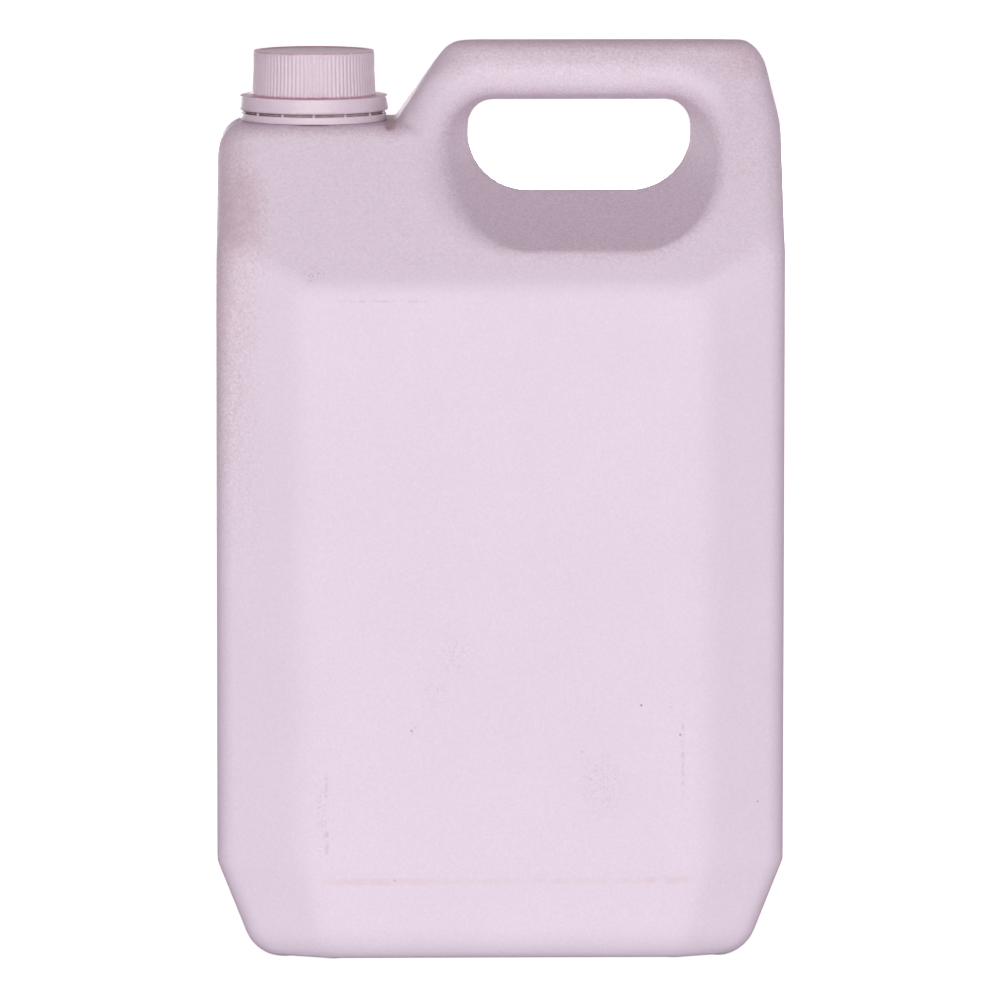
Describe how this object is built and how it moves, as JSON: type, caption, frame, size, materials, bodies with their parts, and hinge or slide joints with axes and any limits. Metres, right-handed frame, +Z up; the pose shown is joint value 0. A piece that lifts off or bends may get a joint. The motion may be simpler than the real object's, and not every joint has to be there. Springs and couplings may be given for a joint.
{
  "type": "bleach jug",
  "caption": "Upright rectangular blow-moulded plastic jug with a hollow grab handle, bevelled corners and a ribbed screw cap over a tamper band.",
  "frame": {"origin": "centre of the footprint on the surface that the jug stands on", "axes": "+Z up, +X towards the handle side with the neck at -X, the front panel faces -Y"},
  "size_m": [0.19, 0.125, 0.3055],
  "materials": {
    "jug_plastic": "pale lilac-white blow-moulded HDPE, fine satin grain, light grime in the creases",
    "cap_plastic": "pale lilac-white injection-moulded plastic, satin",
    "wad_foam": "white expanded polyethylene foam"
  },
  "bodies": {
    "jug": {"jug_body": "jug_plastic", "tamper_band": "cap_plastic"},
    "wad": {"seal_wad": "wad_foam"},
    "screw_cap": {"cap": "cap_plastic"}
  },
  "joints": [
    {"name": "cap_lift", "type": "slide", "parent": "jug", "child": "wad", "axis": [0, 0, 1], "range_m": [0, 0.0106]},
    {"name": "cap_turn", "type": "hinge", "parent": "wad", "child": "screw_cap", "pos_m": [-0.062, 0, 0.294], "axis": [0, 0, 1], "range_deg": [0, 900]}
  ],
  "couplings": [
    {"joint": "cap_lift", "follows": "cap_turn", "m_per_rad": 0.00066845}
  ]
}
